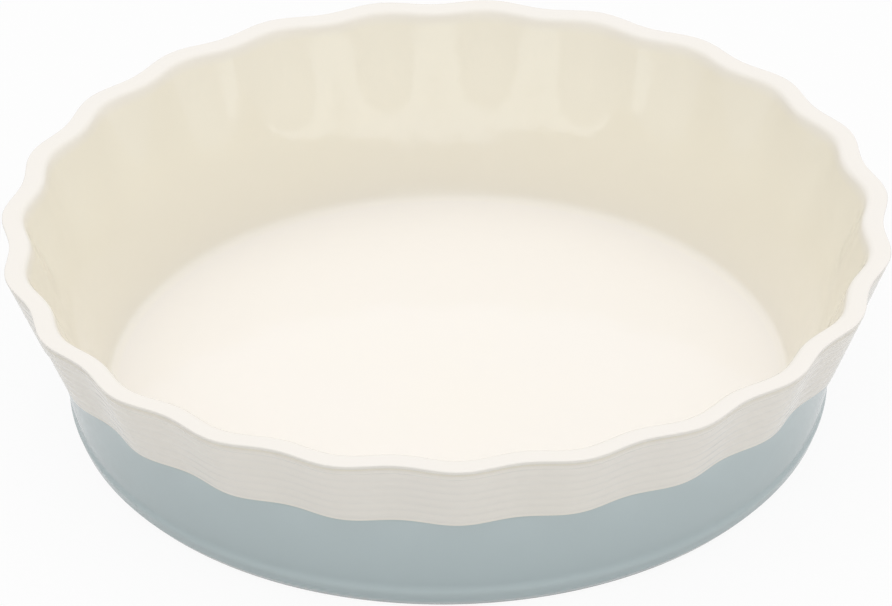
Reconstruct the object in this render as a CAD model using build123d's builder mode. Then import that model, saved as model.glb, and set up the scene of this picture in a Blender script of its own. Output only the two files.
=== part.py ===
from build123d import *
import math
import os

# Fluted stoneware pie dish, standing on its foot ring.
# +Z is up, the origin is the centre of the ground plane under the foot,
# and one flute of the rim faces -Y. Lengths are millimetres, angles degrees.

# Overall sizes
rim_radius = 130.0              # widest outer radius of the rim, halfway between crest and hollow
dish_height = 60.4
coat_thickness = 0.5            # the blue glaze, a coat over the fired body

# Flutes, which run round the rim and the collar
flute_count = 23
rim_flute_swing = 1.4           # how far a crest stands out, and a hollow stands in, at the rim
collar_flute_swing = 1.25       # the same at the collar's lower edge

# Collar, the flared fluted band under the rim
collar_height = 24.7
collar_flare = 9.0              # how much narrower its lower edge is than the rim
collar_overhang = 2.3           # how far its lower edge stands out over the belly

# Rim, rounded outside and in
rim_width = 7.1
rim_outer_rounding = 1.2
rim_inner_rounding = 2.4

# Wall and floor
wall_thickness = 6.1            # just under the collar
foot_wall_thickness = 10.6      # at the corner of the floor
floor_height = 4.8
floor_rounding = 4.2
flute_end_drop = 2.7            # below the collar; under this the inside of the bowl is round

# Belly and foot, round outside
belly_swell = 2.4               # how much wider the belly is at its top than at its middle
belly_middle_height = 23.0
belly_taper = 5.8               # how much wider the belly is at its top than at the groove
groove_height = 9.4
groove_depth = 0.9              # behind the bead below it
bead_height = 7.2
foot_swell_inset = 1.2          # inside the bead
foot_swell_height = 3.4
foot_inset = 3.2                # inside the bead
dry_foot_height = 0.5           # bare clay between the blue glaze and the table
foot_ring_width = 6.5

# Underside
recess_depth = 1.0
recess_chamfer = 0.8

# How far the space of the bowl is cut on above the rim
overrun = 2.0

# How far up the fluted wall inside each level lies, and how deep the flutes are there
fade_height_shares = [0, 0.33, 0.66, 1]
fade_swing_shares = [0, 0.36, 0.72, 1]
# How many chords the rounding round the floor is drawn in
floor_rounding_chords = 4

# Heights and radii that follow from these, from the rim inward and downward
top_cut_height = dish_height + overrun
collar_foot_height = dish_height - collar_height
flute_end_height = collar_foot_height - flute_end_drop
collar_foot_radius = rim_radius - collar_flare
belly_top_radius = collar_foot_radius - collar_overhang
belly_middle_radius = belly_top_radius - belly_swell
groove_radius = belly_top_radius - belly_taper
bead_radius = groove_radius + groove_depth
foot_swell_radius = bead_radius - foot_swell_inset
foot_radius = bead_radius - foot_inset
rim_inner_radius = rim_radius - rim_width
flute_end_radius = belly_top_radius - wall_thickness
floor_corner_radius = groove_radius - foot_wall_thickness

flute_pitch = 360 / flute_count
front_angle = -90


def at_angle(radius, degrees):
    """A point of the plan, from its radius and its direction."""
    turn = math.radians(degrees)
    return (radius * math.cos(turn), radius * math.sin(turn))


def fluted_ring(radius, swing):
    """The plan of a fluted wall: arcs over the crests and through the hollows.

    The arcs meet at the mean radius. Without a swing the plan is a circle."""
    quarter = flute_pitch / 4
    if swing == 0:
        CenterArc((0, 0), radius, front_angle - quarter, 360)
        return
    for flute in range(flute_count):
        crest = front_angle + flute * flute_pitch
        hollow = crest + flute_pitch / 2
        ThreePointArc(
            at_angle(radius, crest - quarter),
            at_angle(radius + swing, crest),
            at_angle(radius, crest + quarter),
        )
        ThreePointArc(
            at_angle(radius, hollow - quarter),
            at_angle(radius - swing, hollow),
            at_angle(radius, hollow + quarter),
        )


def fluted_solid(levels):
    """A solid through one ring at each level, straight from each level to the next."""
    with BuildPart() as walls:
        for radius, height, swing in levels:
            with BuildSketch(Plane.XY.offset(height)):
                with BuildLine():
                    fluted_ring(radius, swing)
                make_face()
        loft(ruled=True)
    return walls.part


def arc_point(centre_radius, centre_height, rounding, degrees):
    """A point of a rounding's profile, at an angle above the horizontal."""
    turn = math.radians(degrees)
    return (
        centre_radius + rounding * math.cos(turn),
        centre_height + rounding * math.sin(turn),
    )


# The collar leans from its lower edge to the rim's outer edge
outer_centre_radius = rim_radius - rim_outer_rounding
outer_centre_height = dish_height - rim_outer_rounding
collar_slope = (rim_radius - collar_foot_radius) / (outer_centre_height - collar_foot_height)
collar_lean = math.degrees(math.atan(collar_slope))
outer_start = arc_point(
    outer_centre_radius, outer_centre_height, rim_outer_rounding, -collar_lean
)
outer_middle = arc_point(
    outer_centre_radius, outer_centre_height, rim_outer_rounding, (90 - collar_lean) / 2
)

# The fluted wall inside leans from where the flutes end to the rim's inner edge
inner_centre_radius = rim_inner_radius + rim_inner_rounding
inner_centre_height = dish_height - rim_inner_rounding
wall_slope = (rim_inner_radius - flute_end_radius) / (inner_centre_height - flute_end_height)
wall_lean = math.degrees(math.atan(wall_slope))
inner_start = arc_point(
    inner_centre_radius, inner_centre_height, rim_inner_rounding, 180 - wall_lean
)
inner_middle = arc_point(
    inner_centre_radius, inner_centre_height, rim_inner_rounding, (270 - wall_lean) / 2
)

# The round wall leans from the floor's corner to where the flutes end
round_wall_slope = (flute_end_radius - floor_corner_radius) / (flute_end_height - floor_height)
round_wall_lean = math.degrees(math.atan(round_wall_slope))


def floor_rounding_levels():
    """The rounding between the floor and the round wall, from the floor upward."""
    turn = 90 - round_wall_lean
    reach = floor_rounding * math.tan(math.radians(turn / 2))
    centre_radius = floor_corner_radius - reach
    centre_height = floor_height + floor_rounding
    levels = []
    for chord in range(floor_rounding_chords + 1):
        angle = -90 + turn * chord / floor_rounding_chords
        levels.append((*arc_point(centre_radius, centre_height, floor_rounding, angle), 0))
    return levels


def fading_levels():
    """The fluted wall inside, where the flutes deepen towards the rim."""
    levels = []
    for height_share, swing_share in zip(fade_height_shares, fade_swing_shares):
        height = flute_end_height + height_share * (inner_start[1] - flute_end_height)
        radius = flute_end_radius + height_share * (inner_start[0] - flute_end_radius)
        levels.append((radius, height, swing_share * rim_flute_swing))
    return levels


# Levels of each solid from below upward, each a radius, a height and a swing
collar = fluted_solid([
    (collar_foot_radius, collar_foot_height, collar_flute_swing),
    (*outer_start, rim_flute_swing),
    (*outer_middle, rim_flute_swing),
    (outer_centre_radius, dish_height, rim_flute_swing),
])
bowl_space = fluted_solid([
    *floor_rounding_levels(),
    *fading_levels(),
    (*inner_middle, rim_flute_swing),
    (inner_centre_radius, dish_height, rim_flute_swing),
    (inner_centre_radius, top_cut_height, rim_flute_swing),
])


def belly_line(inset):
    """The outside of the belly and foot, from the dry foot up to the collar."""
    Polyline(
        (foot_radius - inset, dry_foot_height),
        (foot_swell_radius - inset, foot_swell_height),
        (bead_radius - inset, bead_height),
        (groove_radius - inset, groove_height),
        (belly_middle_radius - inset, belly_middle_height),
        (belly_top_radius - inset, collar_foot_height),
    )


# Stoneware body: one fired piece with floor, belly, fluted collar, rim and foot ring
body_foot_radius = foot_radius - coat_thickness
ground_radius = body_foot_radius - dry_foot_height
recess_radius = body_foot_radius - foot_ring_width
with BuildPart() as stoneware_body:
    with BuildSketch(Plane.XZ):
        with BuildLine():
            belly_line(coat_thickness)
            Polyline(
                (belly_top_radius - coat_thickness, collar_foot_height),
                (0, collar_foot_height),
                (0, 0),
                (ground_radius, 0),
                (body_foot_radius, dry_foot_height),
            )
        make_face()
    revolve(axis=Axis.Z)
    add(collar)
    add(bowl_space, mode=Mode.SUBTRACT)
    with BuildSketch(Plane.XY):
        Circle(recess_radius)
    extrude(amount=recess_depth + coat_thickness, mode=Mode.SUBTRACT)
    ground_edges = stoneware_body.edges().filter_by(GeomType.CIRCLE).group_by(Axis.Z)[0]
    chamfer(ground_edges.sort_by(SortBy.RADIUS)[0], recess_chamfer)
stoneware_body.part.label = "stoneware_body"

# Blue glaze: the coat on the belly, from under the collar down to the foot
with BuildPart() as belly_glaze:
    with BuildSketch(Plane.XZ):
        with BuildLine():
            belly_line(0)
            belly_line(coat_thickness)
            Line(
                (foot_radius, dry_foot_height),
                (foot_radius - coat_thickness, dry_foot_height),
            )
            Line(
                (belly_top_radius, collar_foot_height),
                (belly_top_radius - coat_thickness, collar_foot_height),
            )
        make_face()
    revolve(axis=Axis.Z)
belly_glaze.part.label = "belly_glaze"

# Base glaze: the coat on the ceiling of the recess inside the foot ring
with BuildPart() as base_glaze:
    with BuildSketch(Plane.XY.offset(recess_depth)):
        Circle(recess_radius)
    extrude(amount=coat_thickness)
base_glaze.part.label = "base_glaze"

os.makedirs("parts", exist_ok=True)
export_step(stoneware_body.part, "parts/stoneware_body.step")
export_step(belly_glaze.part, "parts/belly_glaze.step")
export_step(base_glaze.part, "parts/base_glaze.step")
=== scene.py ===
import math
from collections import namedtuple

import bpy
import numpy as np
from mathutils import Matrix, Vector


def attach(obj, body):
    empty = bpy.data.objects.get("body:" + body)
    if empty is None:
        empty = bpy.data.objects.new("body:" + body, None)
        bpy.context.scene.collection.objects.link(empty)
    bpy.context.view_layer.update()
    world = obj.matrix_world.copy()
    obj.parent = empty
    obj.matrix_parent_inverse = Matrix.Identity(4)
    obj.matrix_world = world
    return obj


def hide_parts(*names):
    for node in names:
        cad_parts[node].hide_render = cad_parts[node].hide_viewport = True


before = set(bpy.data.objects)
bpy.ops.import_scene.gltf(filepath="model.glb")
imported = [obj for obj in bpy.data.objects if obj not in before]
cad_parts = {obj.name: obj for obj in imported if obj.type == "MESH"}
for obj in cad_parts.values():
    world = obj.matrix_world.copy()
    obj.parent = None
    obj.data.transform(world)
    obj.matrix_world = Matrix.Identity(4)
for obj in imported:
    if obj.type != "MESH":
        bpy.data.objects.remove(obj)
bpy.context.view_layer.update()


# The fired dish. One piece of pale stoneware, pressed in a fluted mould, with ribs combed
# round the outside of its collar. It is dipped in cream glaze, painted paler on the lit floor
# and rim and warmer on the walls, as painted bounce shade. The foot ring is wiped bare before
# firing.

# Sizes in millimetres
dish_height = 60.4
rim_radius = 130.0
rim_width = 7.1
rim_inner_rounding = 2.4
rim_swing = 1.4
rim_corner_overreach = 0.25     # how far its outer corner stands out before it is rounded off
rim_foot_height = 59.1
rim_groove_height = 58.5
rim_groove_depth = 0.75
collar_foot_radius = 121.0
collar_foot_height = 35.7
collar_foot_swing = 1.25
floor_height = 4.8
floor_corner_radius = 102.3
floor_edge_width = 4.0          # the palest ring of the floor, painted paler as light against the shade at the wall's foot
wall_foot_radius = 105.3        # where the rounding from the floor ends in the round wall
wall_foot_height = 13.02
knee_radius = 112.6             # where the flutes inside end
knee_height = 33.0
upper_wall_radius = 118.5
upper_wall_height = 47.3
upper_wall_swing = 0.62 * rim_swing
under_rim_radius = 121.9
under_rim_height = 55.6
under_rim_swing = 0.86 * rim_swing
belly_top_radius = 118.7
foot_radius = 110.6
coat_thickness = 0.5
dry_foot_height = 0.5
recess_radius = 103.6
recess_height = 1.5
recess_chamfer = 0.8

# The clay behind the blue coat, at the belly's middle, in the groove and on the bead
clay_belly_radius = 115.8
clay_belly_height = 23.0
clay_groove_radius = 112.4
clay_groove_height = 9.4
clay_bead_radius = 113.5
clay_bead_height = 7.2

flute_count = 23
steps_per_flute = 24
millimetre = 0.001

# A corner of a profile: its place, how far the flutes swing there, its glaze value from 0 to 1,
# glaze thickness with painted shade and light, and how far before and after it the profile
# bends
Corner = namedtuple("Corner", "radius height swing glaze reach", defaults=(0, 0.5, 0))


def soften(corners, longest_run):
    """Rows of a profile that runs straight between its corners and bends softly at each.

    A row gives the radius, height, flute swing and glaze value, which holds painted shade too.
    Two bends share the run between them without overlapping. Straight runs are cut into steps
    no longer than longest_run."""
    bends = 5
    points = [np.array(corner[:4], float) for corner in corners]
    runs = [np.hypot(*(after - before)[:2]) for before, after in zip(points, points[1:])]
    free = [runs[0], *[run / 2 for run in runs[1:-1]], runs[-1]]
    rows = [points[0]]
    for index in range(1, len(points) - 1):
        before, here, after = points[index - 1 : index + 2]
        reach = min(corners[index].reach, free[index - 1], free[index])
        start = here + (before - here) * reach / runs[index - 1]
        end = here + (after - here) * reach / runs[index]
        rows += straight(rows[-1], start, longest_run)
        for bend in range(1, bends + 1):
            t = bend / bends
            rows.append((1 - t) ** 2 * start + 2 * t * (1 - t) * here + t * t * end)
    rows += straight(rows[-1], points[-1], longest_run)
    return rows


def straight(start, end, longest_run):
    """The rows from start to end, without start, each step no longer than longest_run.

    Where one bend ends as the next one starts, there are none."""
    steps = math.ceil(round(np.hypot(*(end - start)[:2]) / longest_run, 3))
    return [start + (end - start) * step / steps for step in range(1, steps + 1)]


def turn_skin(name, rows, columns):
    """Turns a profile round the middle of the dish into one closed skin, flutes and all.

    The profile runs with the solid on its right. Crests of the flutes stand at the front,
    towards -Y, and each flute_count-th of a turn."""
    rings = [row for row in rows if row[0] > 0]
    radius, height, swing, glaze = (np.array(rings)[:, i : i + 1] for i in range(4))
    turn = np.arange(columns) * 2 * math.pi / columns
    reach = radius + swing * np.cos(flute_count * turn)
    across = reach * np.sin(turn)
    along = -reach * np.cos(turn)
    up = np.broadcast_to(height, across.shape)
    points = np.stack([across, along, up], axis=-1).reshape(-1, 3).tolist()
    glaze_and_shade_depths = np.repeat(glaze[:, 0], columns).tolist()
    faces = []
    for ring in range(len(rings) - 1):
        low, high = ring * columns, (ring + 1) * columns
        for column in range(columns):
            following = (column + 1) % columns
            faces.append((low + column, low + following, high + following, high + column))
    # Where the profile starts or ends in the middle, a fan of faces closes the skin there
    last_ring = (len(rings) - 1) * columns
    for row, ring, order in ((rows[0], 0, -1), (rows[-1], last_ring, 1)):
        if row[0] == 0:
            points.append((0, 0, row[1]))
            glaze_and_shade_depths.append(row[3])
            middle = len(points) - 1
            for column in range(columns):
                edge = (ring + column, ring + (column + 1) % columns)
                faces.append((middle, *edge[::order]))
    mesh = bpy.data.meshes.new(name)
    mesh.from_pydata([[value * millimetre for value in point] for point in points], [], faces)
    mesh.attributes.new("glaze_depth_and_shade", "FLOAT", "POINT").data.foreach_set("value", glaze_and_shade_depths)
    mesh.polygons.foreach_set("use_smooth", [True] * len(mesh.polygons))
    mesh.update()
    piece = bpy.data.objects.new(name, mesh)
    bpy.context.scene.collection.objects.link(piece)
    return piece


# The wall inside leans out to the rim, and the collar outside leans with it
wall_rise = dish_height - rim_inner_rounding - knee_height
wall_lean = (rim_radius - rim_width - knee_radius) / wall_rise
rim_inner_corner = knee_radius + wall_lean * (dish_height - knee_height)
rim_outer_corner = rim_radius + rim_corner_overreach
collar_lean = (rim_outer_corner - collar_foot_radius) / (dish_height - collar_foot_height)


def collar_radius(height):
    """The radius of the collar's face at a height, on the crests of its ribs."""
    return collar_foot_radius + collar_lean * (height - collar_foot_height)


def collar_swing(height):
    """How far the flutes swing at a height on the collar."""
    share = (height - collar_foot_height) / (dish_height - collar_foot_height)
    return collar_foot_swing + share * (rim_swing - collar_foot_swing)


# Inside, from the middle of the floor up the wall and over the rim to the fine groove under it
rim_foot_radius = collar_radius(rim_foot_height)
rim_groove_radius = collar_radius(rim_groove_height) - rim_groove_depth
# Its glaze values paint the lit floor and rim paler and the shaded walls warmer, as bounce
# shade
inside = soften([
    # The floor
    Corner(0, floor_height, glaze=0.2),
    # The floor's edge ring is painted paler, as light against the shade at the wall's foot
    Corner(floor_corner_radius - floor_edge_width, floor_height, glaze=0, reach=0.8),
    Corner(floor_corner_radius, floor_height, reach=2.9),
    # The round wall
    Corner(wall_foot_radius, wall_foot_height, glaze=0.65, reach=4),
    Corner(knee_radius, knee_height, glaze=0.8, reach=9),
    # The fluted wall
    Corner(upper_wall_radius, upper_wall_height, upper_wall_swing, glaze=0.95, reach=5),
    Corner(under_rim_radius, under_rim_height, under_rim_swing, glaze=0.9, reach=1.5),
    # The rim's two corners
    Corner(rim_inner_corner, dish_height, rim_swing, glaze=0.2, reach=1.7),
    Corner(rim_outer_corner, dish_height, rim_swing, glaze=0.15, reach=1.3),
    # The rim's foot and the bottom of the groove, painted warmer as the shade under the rim
    Corner(rim_foot_radius, rim_foot_height, rim_swing, glaze=0.4, reach=0.2),
    Corner(rim_groove_radius, rim_groove_height, rim_swing, glaze=0.9),
], longest_run=9)

# Combed ribs down the collar: rounded backs with a sharp groove between each two. The first
# rib, under the rim, is cut short.
ribs_top_height = 57.9
first_rib_foot = 56.57
full_rib_count = 6
rib_pitch = 3.33
rib_depth = 0.22
steps_per_rib = 6
collar_glaze = 0.3


def rib_row(height, depth):
    """A row of the collar's profile, that far in from the crests of the ribs."""
    return np.array([collar_radius(height) - depth, height, collar_swing(height), collar_glaze])


groove_heights = [ribs_top_height]
groove_heights += [first_rib_foot - rib_pitch * rib for rib in range(full_rib_count + 1)]
ribs = []
for top, foot in zip(groove_heights, groove_heights[1:]):
    for step in range(steps_per_rib):
        from_middle = abs(2 * step / steps_per_rib - 1)
        height = top + (foot - top) * step / steps_per_rib
        ribs.append(rib_row(height, rib_depth * from_middle ** 2))
ribs.append(rib_row(groove_heights[-1], rib_depth))

# Outside, from the last rib down behind the blue coat and over the foot to the middle
# underneath
clay_top_radius = belly_top_radius - coat_thickness
clay_foot_radius = foot_radius - coat_thickness
outside = soften([
    # In under the collar
    Corner(*ribs[-1]),
    Corner(collar_foot_radius, collar_foot_height, collar_foot_swing, reach=0.45),
    Corner(clay_top_radius, collar_foot_height, reach=0.3),
    # The belly, the groove and the bead
    Corner(clay_belly_radius, clay_belly_height, reach=3),
    Corner(clay_groove_radius, clay_groove_height, reach=1),
    Corner(clay_bead_radius, clay_bead_height, reach=1),
    # The bare foot ring
    Corner(clay_foot_radius, dry_foot_height, glaze=0, reach=0.3),
    Corner(clay_foot_radius - dry_foot_height, 0, glaze=0, reach=0.2),
    Corner(recess_radius + recess_chamfer, 0, glaze=0, reach=0.3),
    # The recess
    Corner(recess_radius, recess_chamfer, glaze=0, reach=0.3),
    Corner(recess_radius, recess_height, glaze=0, reach=0.2),
    Corner(0, recess_height, glaze=0),
], longest_run=12)
dish = turn_skin("cream_dish", inside + ribs + outside[1:], flute_count * steps_per_flute)


def glaze_material(name, thin_and_lit, thick_and_shaded, roughness):
    """A glossy stoneware glaze, its colour from how thick it lies and painted shade, with
    clouding and ripple.
    """
    material = bpy.data.materials.new(name)
    material.use_nodes = True
    nodes, links = material.node_tree.nodes, material.node_tree.links
    shader = nodes["Principled BSDF"]
    shader.inputs["IOR"].default_value = 1.5
    place = nodes.new("ShaderNodeTexCoord")
    # The glaze value carries painted shade and light as well as how thick the glaze lies
    depth = nodes.new("ShaderNodeAttribute")
    depth.attribute_name = "glaze_depth_and_shade"
    clouds = nodes.new("ShaderNodeTexNoise")
    clouds.inputs["Scale"].default_value = 22
    clouds.inputs["Detail"].default_value = 4
    links.new(place.outputs["Object"], clouds.inputs["Vector"])
    spread = nodes.new("ShaderNodeMapRange")
    spread.inputs["To Min"].default_value = -0.09
    spread.inputs["To Max"].default_value = 0.09
    links.new(clouds.outputs["Fac"], spread.inputs["Value"])
    lie = nodes.new("ShaderNodeMath")
    lie.operation = "ADD"
    links.new(depth.outputs["Fac"], lie.inputs[0])
    links.new(spread.outputs["Result"], lie.inputs[1])
    glaze_and_shade_tone = nodes.new("ShaderNodeValToRGB")
    glaze_and_shade_tone.color_ramp.elements[0].color = (*thin_and_lit, 1)
    glaze_and_shade_tone.color_ramp.elements[0].position = 0.1
    glaze_and_shade_tone.color_ramp.elements[1].color = (*thick_and_shaded, 1)
    glaze_and_shade_tone.color_ramp.elements[1].position = 0.8
    links.new(lie.outputs["Value"], glaze_and_shade_tone.inputs["Fac"])
    links.new(glaze_and_shade_tone.outputs["Color"], shader.inputs["Base Color"])
    skin = nodes.new("ShaderNodeTexNoise")
    skin.inputs["Scale"].default_value = 300
    skin.inputs["Detail"].default_value = 3
    links.new(place.outputs["Object"], skin.inputs["Vector"])
    shine = nodes.new("ShaderNodeMapRange")
    shine.inputs["To Min"].default_value = roughness - 0.04
    shine.inputs["To Max"].default_value = roughness + 0.05
    links.new(skin.outputs["Fac"], shine.inputs["Value"])
    links.new(shine.outputs["Result"], shader.inputs["Roughness"])
    waves = nodes.new("ShaderNodeTexNoise")
    waves.inputs["Scale"].default_value = 90
    waves.inputs["Detail"].default_value = 2
    links.new(place.outputs["Object"], waves.inputs["Vector"])
    ripple = nodes.new("ShaderNodeBump")
    ripple.inputs["Distance"].default_value = 0.0002
    ripple.inputs["Strength"].default_value = 0.5
    links.new(waves.outputs["Fac"], ripple.inputs["Height"])
    links.new(ripple.outputs["Normal"], shader.inputs["Normal"])
    return material


# Thin and lit is the pale floor and rim; thick and shaded is the painted warm shade of the
# walls
cream_glaze = glaze_material(
    "cream_glaze",
    thin_and_lit=(0.895, 0.857, 0.81),
    thick_and_shaded=(0.93, 0.88, 0.75),
    roughness=0.06,
)
dish.data.materials.append(cream_glaze)

bare_clay = bpy.data.materials.new("bare_clay")
bare_clay.use_nodes = True
clay_nodes, clay_links = bare_clay.node_tree.nodes, bare_clay.node_tree.links
clay_shader = clay_nodes["Principled BSDF"]
clay_shader.inputs["Specular IOR Level"].default_value = 0.25
clay_shader.inputs["Roughness"].default_value = 0.85
clay_place = clay_nodes.new("ShaderNodeTexCoord")
clay_grain = clay_nodes.new("ShaderNodeTexNoise")
clay_grain.inputs["Scale"].default_value = 900
clay_grain.inputs["Detail"].default_value = 6
clay_links.new(clay_place.outputs["Object"], clay_grain.inputs["Vector"])
clay_tone = clay_nodes.new("ShaderNodeValToRGB")
clay_tone.color_ramp.elements[0].color = (0.42, 0.36, 0.28, 1)
clay_tone.color_ramp.elements[0].position = 0.3
clay_tone.color_ramp.elements[1].color = (0.62, 0.56, 0.47, 1)
clay_tone.color_ramp.elements[1].position = 0.7
clay_links.new(clay_grain.outputs["Fac"], clay_tone.inputs["Fac"])
clay_links.new(clay_tone.outputs["Color"], clay_shader.inputs["Base Color"])
clay_bump = clay_nodes.new("ShaderNodeBump")
clay_bump.inputs["Distance"].default_value = 0.0002
clay_links.new(clay_grain.outputs["Fac"], clay_bump.inputs["Height"])
clay_links.new(clay_bump.outputs["Normal"], clay_shader.inputs["Normal"])
dish.data.materials.append(bare_clay)

# The glaze is wiped off up to here
wiped_height = 0.6
bare_clay_slot = dish.data.materials.find(bare_clay.name)
for face in dish.data.polygons:
    if face.center.z < wiped_height * millimetre:
        face.material_index = bare_clay_slot

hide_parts("stoneware_body")
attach(dish, "root")


# The blue glaze on the belly. A second glaze, sprayed over the round lower wall from under
# the collar down to the foot, half a millimetre thick. It pools darker, with painted shade, in
# the groove above the foot bead, and breaks paler, with a painted highlight, over the bead.

# How far a coat is fused into the clay behind it
coat_bond = 0.05

coat_outside = soften([
    # The dark line of painted shade under the collar, and the belly, painted lighter just below
    # it
    Corner(belly_top_radius, collar_foot_height, glaze=0.9),
    Corner(118.4, 34.3, glaze=0.2, reach=0.7),
    Corner(116.6, 26.0, glaze=0.4, reach=5),
    Corner(113.9, 11.5, reach=3),
    # The bottom of the groove, darker with painted shade, and the bead, paler with a painted
    # highlight
    Corner(113.2, 8.4, glaze=0.6, reach=1.4),
    Corner(113.8, 6.6, glaze=0.2, reach=1),
    # Under the bead, painted darker in its shade, then lighter again on the way in to the foot
    Corner(113.0, 4.4, glaze=0.45, reach=0.9),
    Corner(112.6, 2.9, glaze=0.35, reach=1),
    Corner(foot_radius, dry_foot_height),
], longest_run=3)

# The side of the coat that is fused to the clay, from the foot back up
coat_inside = soften([
    Corner(clay_foot_radius, dry_foot_height),
    Corner(clay_bead_radius - coat_bond, clay_bead_height, reach=1),
    Corner(clay_groove_radius - coat_bond, clay_groove_height, reach=1),
    Corner(clay_belly_radius - coat_bond, clay_belly_height, reach=3),
    Corner(clay_top_radius, collar_foot_height),
], longest_run=6)
coat_rows = coat_outside + coat_inside
coat_columns = 360
belly_coat = turn_skin("belly_coat", coat_rows + coat_rows[:1], coat_columns)
blue_glaze = glaze_material(
    "blue_glaze",
    thin_and_lit=(0.575, 0.66, 0.67),
    thick_and_shaded=(0.465, 0.55, 0.565),
    roughness=0.07,
)
belly_coat.data.materials.append(blue_glaze)
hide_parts("belly_glaze")
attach(belly_coat, "root")


# The blue glaze on the base. The same glaze, brushed over the ceiling of the recess inside
# the foot ring, where it stays clear of the table. Its edge is rounded where it stopped.

base_coat_back = recess_height + coat_bond
base_coat_face = recess_height - coat_thickness
base_coat = turn_skin("base_coat", soften([
    Corner(0, base_coat_back, glaze=0.3),
    Corner(recess_radius, base_coat_back, glaze=0.1, reach=0.1),
    Corner(recess_radius, base_coat_face, glaze=0.1, reach=0.3),
    Corner(0, base_coat_face, glaze=0.3),
], longest_run=8), coat_columns)
base_coat.data.materials.append(blue_glaze)
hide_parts("base_glaze")
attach(base_coat, "root")


# The table that the dish stands on. It is a plain white sweep, seen as white by the camera
# and, less strongly, in the glaze, and it keeps a trace of the dish's soft shadow.

table_size = 12                 # metres
white_to_camera = 0.93          # the share of its colour there that is pure white
white_in_glaze = 0.62

bpy.ops.mesh.primitive_plane_add(size=table_size)
table = bpy.context.active_object
table.name = "white_table"
white = bpy.data.materials.new("white_table")
white.use_nodes = True
white_nodes, white_links = white.node_tree.nodes, white.node_tree.links
white_shader = white_nodes["Principled BSDF"]
white_shader.inputs["Base Color"].default_value = (0.75, 0.75, 0.75, 1)
white_shader.inputs["Roughness"].default_value = 0.9
white_glow = white_nodes.new("ShaderNodeEmission")
seen = white_nodes.new("ShaderNodeLightPath")
seen_straight = white_nodes.new("ShaderNodeMath")
seen_straight.operation = "MAXIMUM"
white_links.new(seen.outputs["Is Camera Ray"], seen_straight.inputs[0])
white_links.new(seen.outputs["Is Transmission Ray"], seen_straight.inputs[1])
seen_in_glaze = white_nodes.new("ShaderNodeMath")
seen_in_glaze.operation = "MULTIPLY"
seen_in_glaze.inputs[1].default_value = white_in_glaze
white_links.new(seen.outputs["Is Glossy Ray"], seen_in_glaze.inputs[0])
glow_share = white_nodes.new("ShaderNodeMath")
glow_share.operation = "MULTIPLY_ADD"
glow_share.inputs[1].default_value = white_to_camera
white_links.new(seen_straight.outputs["Value"], glow_share.inputs[0])
white_links.new(seen_in_glaze.outputs["Value"], glow_share.inputs[2])
white_mix = white_nodes.new("ShaderNodeMixShader")
white_links.new(glow_share.outputs["Value"], white_mix.inputs["Fac"])
white_links.new(white_shader.outputs["BSDF"], white_mix.inputs[1])
white_links.new(white_glow.outputs["Emission"], white_mix.inputs[2])
white_links.new(white_mix.outputs["Shader"], white_nodes["Material Output"].inputs["Surface"])
table.data.materials.append(white)


# The room: a white tent round the table, lit through its sides and roof, and one long low
# lamp in front, which the glaze inside the back wall mirrors. What is seen of the tent
# itself, also in the glaze, is plain white.

# Each side's light: the direction it comes from, how narrow it is and how strong
tent_glows = [
    ((0, 0, 1), 2, 1.45),
    ((0, -1, 0), 2, 0.5),
    ((1, 0, 0), 2, 0.54),
    ((0, 1, 1), 6, 0.5),
    ((-1, 0, 1), 6, 0.5),
]

room = bpy.data.worlds.new("room")
bpy.context.scene.world = room
room.use_nodes = True
room_nodes, room_links = room.node_tree.nodes, room.node_tree.links
room_place = room_nodes.new("ShaderNodeTexCoord")
tent_light = room_nodes["Background"]
tent_light.inputs["Color"].default_value = (1, 1, 1, 1)
glow_level = None
for direction, narrowness, strength in tent_glows:
    facing = room_nodes.new("ShaderNodeVectorMath")
    facing.operation = "DOT_PRODUCT"
    facing.inputs[1].default_value = Vector(direction).normalized()
    room_links.new(room_place.outputs["Generated"], facing.inputs[0])
    lit_side = room_nodes.new("ShaderNodeMath")
    lit_side.operation = "MAXIMUM"
    lit_side.inputs[1].default_value = 0
    room_links.new(facing.outputs["Value"], lit_side.inputs[0])
    narrowed = room_nodes.new("ShaderNodeMath")
    narrowed.operation = "POWER"
    narrowed.inputs[1].default_value = narrowness
    room_links.new(lit_side.outputs["Value"], narrowed.inputs[0])
    added = room_nodes.new("ShaderNodeMath")
    added.operation = "MULTIPLY_ADD"
    added.inputs[1].default_value = strength
    added.inputs[2].default_value = 0
    room_links.new(narrowed.outputs["Value"], added.inputs[0])
    if glow_level:
        room_links.new(glow_level, added.inputs[2])
    glow_level = added.outputs["Value"]
room_links.new(glow_level, tent_light.inputs["Strength"])
tent_white = room_nodes.new("ShaderNodeBackground")
tent_white.inputs["Color"].default_value = (1, 1, 1, 1)
tent_seen = room_nodes.new("ShaderNodeLightPath")
tent_seen_or_mirrored = room_nodes.new("ShaderNodeMath")
tent_seen_or_mirrored.operation = "MAXIMUM"
room_links.new(tent_seen.outputs["Is Camera Ray"], tent_seen_or_mirrored.inputs[0])
room_links.new(tent_seen.outputs["Is Glossy Ray"], tent_seen_or_mirrored.inputs[1])
tent_seen_at_all = room_nodes.new("ShaderNodeMath")
tent_seen_at_all.operation = "MAXIMUM"
room_links.new(tent_seen_or_mirrored.outputs["Value"], tent_seen_at_all.inputs[0])
room_links.new(tent_seen.outputs["Is Transmission Ray"], tent_seen_at_all.inputs[1])
tent_mix = room_nodes.new("ShaderNodeMixShader")
room_links.new(tent_seen_at_all.outputs["Value"], tent_mix.inputs["Fac"])
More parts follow.
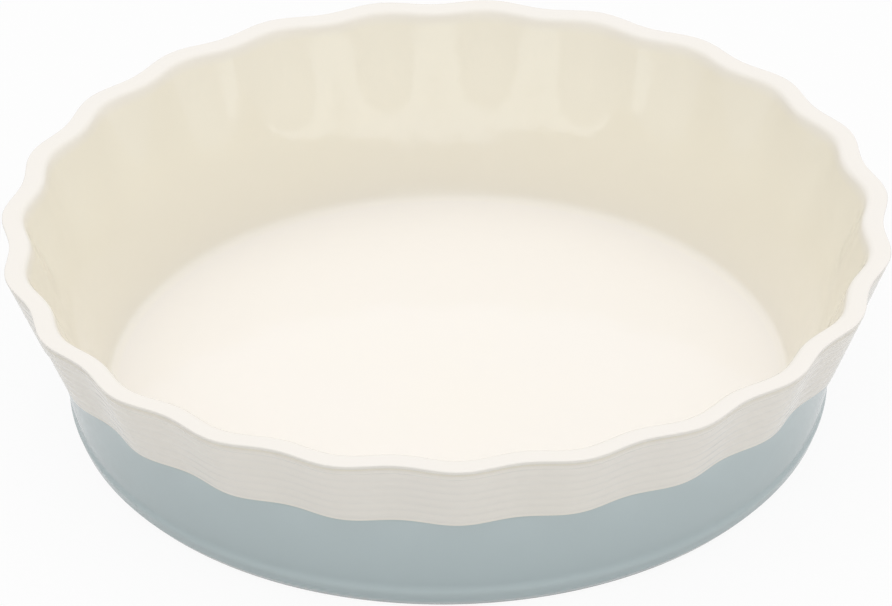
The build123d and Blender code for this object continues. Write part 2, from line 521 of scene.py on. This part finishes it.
room_links.new(tent_light.outputs["Background"], tent_mix.inputs[1])
room_links.new(tent_white.outputs["Background"], tent_mix.inputs[2])
room_links.new(tent_mix.outputs["Shader"], room_nodes["World Output"].inputs["Surface"])

front_lamp = bpy.data.lights.new("front_lamp", "AREA")
front_lamp.color = (0.86, 0.94, 1.0)
front_lamp.shape = "RECTANGLE"
front_lamp.size = 7.0
front_lamp.size_y = 0.24
front_lamp.energy = 5.3
lamp_place = Vector((0, -2.5, 0.54))
lamp_aim = Vector((0, 0, 0.04))
lamp_stand = bpy.data.objects.new("front_lamp", front_lamp)
lamp_stand.location = lamp_place
lamp_stand.rotation_mode = "QUATERNION"
lamp_stand.rotation_quaternion = (lamp_place - lamp_aim).to_track_quat("Z", "Y")
lamp_stand.visible_camera = False
bpy.context.scene.collection.objects.link(lamp_stand)


# The camera. It stands in front of the dish and above it, swung round and leaning by about
# a degree, with a long lens that takes the dish in from edge to edge.

image_width = 892
sensor_width = 36
focal_pixels = 5090.2
look_down = math.radians(32.81)
look_round = math.radians(-1.225)
lean = math.radians(-0.843)
camera_distance = 1.5168
camera_aim = Vector((-0.00038, 0, 0.0307))

forward = Vector((0, math.cos(look_down), -math.sin(look_down)))
level_up = Vector((0, math.sin(look_down), math.cos(look_down)))
level_right = Vector((1, 0, 0))
leaning_right = math.cos(lean) * level_right + math.sin(lean) * level_up
leaning_up = math.cos(lean) * level_up - math.sin(lean) * level_right
swing_round = Matrix.Rotation(look_round, 3, "Z")
camera_axes = [swing_round @ axis for axis in (leaning_right, leaning_up, -forward)]
camera_place = swing_round @ camera_aim - swing_round @ forward * camera_distance

camera = bpy.data.cameras.new("camera")
camera.sensor_width = sensor_width
camera.lens = focal_pixels * sensor_width / image_width
camera_stand = bpy.data.objects.new("camera", camera)
camera_stand.matrix_world = (
    Matrix.Translation(camera_place) @ Matrix(camera_axes).transposed().to_4x4()
)
bpy.context.scene.collection.objects.link(camera_stand)
bpy.context.scene.camera = camera_stand
bpy.context.scene.view_settings.view_transform = "Standard"
